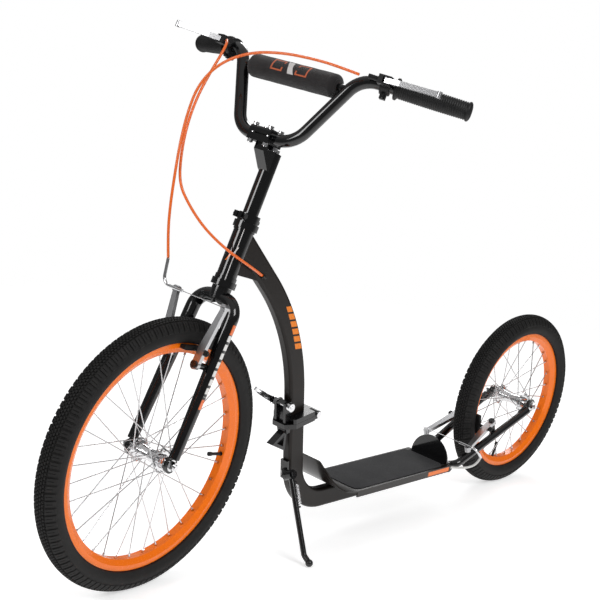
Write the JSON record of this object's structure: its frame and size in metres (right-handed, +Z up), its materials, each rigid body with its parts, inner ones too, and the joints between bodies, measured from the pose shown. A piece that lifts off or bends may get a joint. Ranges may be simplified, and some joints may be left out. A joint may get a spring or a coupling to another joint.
{
  "type": "folding kick scooter",
  "caption": "Folding kick scooter with two spoked wheels and knobby tyres, raised handlebar with foam bar pad, low deck, rim brakes on both wheels and a side stand.",
  "frame": {"origin": "on the ground, below the middle of the bounding box, with the scooter leaning on its side stand", "axes": "+X forward, +Y to the rider's left (the side stand's side), +Z up"},
  "size_m": [1.5711, 0.6322, 0.9908],
  "materials": {
    "black_paint": "gloss black enamel",
    "dark_paint": "gloss black-brown enamel with orange decals",
    "orange_rim": "gloss orange coating",
    "tyre": "matt knobby tread",
    "tube_rubber": "smooth",
    "chrome": "polished",
    "steel": "bright drawn wire",
    "brake_silver": "satin forged",
    "pad_rubber": "matt",
    "grip_rubber": "ribbed, matt",
    "foam_pad": "woven cover over foam",
    "orange_housing": "smooth cable housing",
    "silver_housing": "smooth cable housing",
    "black_plastic": "satin",
    "grip_surface": "coarse grit sheet",
    "deck_paint": "gloss black enamel",
    "stand_paint": "satin black"
  },
  "bodies": {
    "deck_frame": {"lower_tube": "dark_paint", "lower_hinge_plate": "black_paint", "hinge_pin": "chrome", "deck_board": "deck_paint", "grip_sheet": "grip_surface", "heel_guard": "black_paint", "rear_stays": "black_paint", "stand_bracket": "stand_paint", "rear_axle": "chrome", "rear_axle_nuts": "chrome", "tail_brake_cable": "silver_housing", "clamp_bolt": "chrome", "stand_spring": "chrome"},
    "clamp_lever": {"clamp_lever": "chrome"},
    "release_pedal": {"release_pedal": "black_paint"},
    "front_frame": {"main_tube": "dark_paint", "upper_hinge_plate": "black_paint", "head_tube": "black_paint", "headset_cups": "black_paint", "headset_balls": "chrome"},
    "steering": {"fork": "black_paint", "headset_collar": "black_paint", "stem": "black_paint", "bar_clamp_cap": "black_paint", "stem_bolts": "chrome", "handlebar": "black_paint", "bar_pad": "foam_pad", "left_grip": "grip_rubber", "right_grip": "grip_rubber", "left_lever_bracket": "black_plastic", "right_lever_bracket": "black_plastic", "front_axle": "chrome", "front_axle_nuts": "chrome", "front_brake_cable": "orange_housing", "rear_brake_cable": "orange_housing"},
    "left_lever": {"left_brake_lever": "brake_silver"},
    "right_lever": {"right_brake_lever": "brake_silver"},
    "front_wheel": {"front_tyre": "tyre", "front_inner_tube": "tube_rubber", "front_rim": "orange_rim", "front_spokes": "steel", "front_spoke_nipples": "chrome", "front_hub": "chrome"},
    "rear_wheel": {"rear_tyre": "tyre", "rear_inner_tube": "tube_rubber", "rear_rim": "orange_rim", "rear_spokes": "steel", "rear_spoke_nipples": "chrome", "rear_hub": "chrome"},
    "front_left_arm": {"front_brake_arm_left": "brake_silver", "front_brake_pad_left": "pad_rubber"},
    "front_right_arm": {"front_brake_arm_right": "brake_silver", "front_brake_pad_right": "pad_rubber", "front_brake_noodle": "chrome"},
    "rear_left_arm": {"rear_brake_arm_left": "brake_silver", "rear_brake_pad_left": "pad_rubber", "rear_brake_noodle": "chrome"},
    "rear_right_arm": {"rear_brake_arm_right": "brake_silver", "rear_brake_pad_right": "pad_rubber"},
    "side_stand": {"stand_leg": "stand_paint"}
  },
  "joints": [
    {"name": "frame_fold", "type": "hinge", "parent": "deck_frame", "child": "front_frame", "pos_m": [0.13558, -0.05385, 0.27591], "axis": [0, -0.9962, 0.0872], "range_deg": [0, 74]},
    {"name": "steering_turn", "type": "hinge", "parent": "front_frame", "child": "steering", "pos_m": [0.39782, -0.02569, 0.59781], "axis": [-0.3206, 0.0826, 0.9436], "range_deg": [-60, 60], "deforming": ["rear_brake_cable"]},
    {"name": "front_wheel_spin", "type": "hinge", "parent": "steering", "child": "front_wheel", "pos_m": [0.5349, -0.05511, 0.25004], "axis": [-0.0529, 0.9931, -0.1048], "continuous": true},
    {"name": "rear_wheel_spin", "type": "hinge", "parent": "deck_frame", "child": "rear_wheel", "pos_m": [-0.58508, -0.06051, 0.19983], "axis": [0, 0.9962, -0.0872], "continuous": true},
    {"name": "left_lever_squeeze", "type": "hinge", "parent": "steering", "child": "left_lever", "pos_m": [0.29354, 0.1959, 0.92341], "axis": [-0.3186, 0.0481, 0.9467], "range_deg": [0, 14], "stiffness_Nm_per_rad": 1, "springref_deg": -11.46},
    {"name": "right_lever_squeeze", "type": "hinge", "parent": "steering", "child": "right_lever", "pos_m": [0.31378, -0.18432, 0.96355], "axis": [0.3223, -0.1169, -0.9394], "range_deg": [0, 44], "stiffness_Nm_per_rad": 1, "springref_deg": -11.46},
    {"name": "front_left_arm_close", "type": "hinge", "parent": "steering", "child": "front_left_arm", "pos_m": [0.49657, 0.00309, 0.42004], "axis": [0.9457, 0.0835, 0.314], "range_deg": [0, 3], "deforming": ["front_brake_noodle"]},
    {"name": "front_right_arm_close", "type": "hinge", "parent": "steering", "child": "front_right_arm", "pos_m": [0.50101, -0.08033, 0.42885], "axis": [-0.9457, -0.0835, -0.314], "range_deg": [0, 3], "deforming": ["front_brake_cable"]},
    {"name": "rear_left_arm_close", "type": "hinge", "parent": "deck_frame", "child": "rear_left_arm", "pos_m": [-0.45795, -0.02119, 0.16738], "axis": [-0.3831, -0.0805, -0.9202], "range_deg": [0, 3], "deforming": ["tail_brake_cable"]},
    {"name": "rear_right_arm_close", "type": "hinge", "parent": "deck_frame", "child": "rear_right_arm", "pos_m": [-0.45795, -0.10487, 0.1747], "axis": [0.3831, 0.0805, 0.9202], "range_deg": [0, 3], "deforming": ["rear_brake_noodle"]},
    {"name": "quick_release_open", "type": "hinge", "parent": "deck_frame", "child": "clamp_lever", "pos_m": [0.20686, -0.075, 0.29862], "axis": [0.4363, -0.0784, -0.8964], "range_deg": [0, 150]},
    {"name": "release_pedal_press", "type": "hinge", "parent": "deck_frame", "child": "release_pedal", "pos_m": [0.19478, -0.05654, 0.24516], "axis": [0, 0.9962, -0.0872], "range_deg": [0, 12], "stiffness_Nm_per_rad": 1.5, "springref_deg": -8.59},
    {"name": "stand_fold", "type": "hinge", "parent": "deck_frame", "child": "side_stand", "pos_m": [0.18292, -0.03814, 0.15722], "axis": [0, 0.9272, 0.3746], "range_deg": [0, 66], "deforming": ["stand_spring"]}
  ],
  "couplings": [
    {"joint": "front_left_arm_close", "follows": "left_lever_squeeze", "ratio": 0.21429},
    {"joint": "front_right_arm_close", "follows": "left_lever_squeeze", "ratio": 0.21429},
    {"joint": "rear_left_arm_close", "follows": "right_lever_squeeze", "ratio": 0.068181},
    {"joint": "rear_right_arm_close", "follows": "right_lever_squeeze", "ratio": 0.068181}
  ]
}
